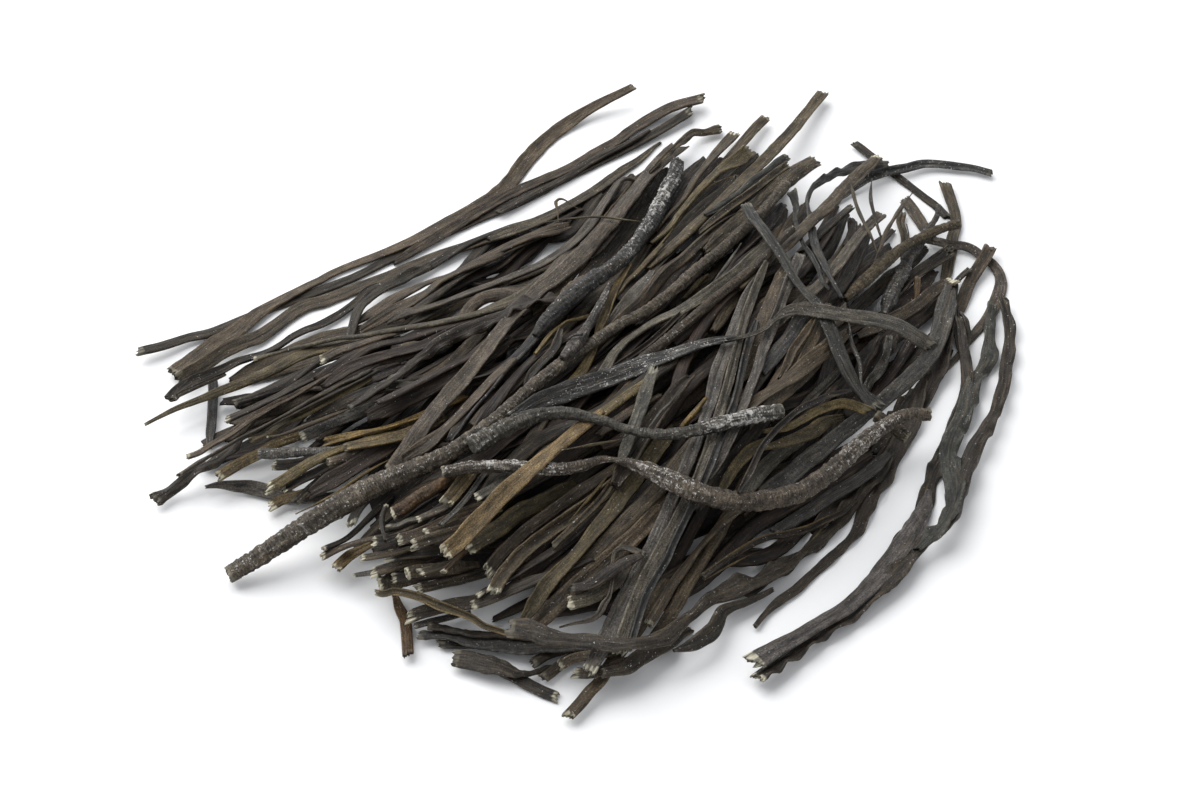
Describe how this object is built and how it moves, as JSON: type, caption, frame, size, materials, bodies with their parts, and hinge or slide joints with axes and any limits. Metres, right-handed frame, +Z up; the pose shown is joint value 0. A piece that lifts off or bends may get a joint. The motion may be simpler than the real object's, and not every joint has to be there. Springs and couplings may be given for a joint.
{
  "type": "heap of dried sea spaghetti",
  "caption": "Loose heap of dried dark seaweed strands, stiff flat ribbons and wrinkled stems lying mostly one way, dry food to soak and cook.",
  "frame": {"origin": "on the surface that the heap lies on, under the middle of the heap's bounding box", "axes": "+X along the run of most of the strands, +Z up from the surface"},
  "size_m": [0.2416, 0.1852, 0.0313],
  "materials": {
    "dried_seaweed": "dry, wrinkled and satin, dark olive brown to charcoal with fine pale salt"
  },
  "bodies": {
    "root": {"strand_heap": "dried_seaweed"}
  },
  "joints": []
}
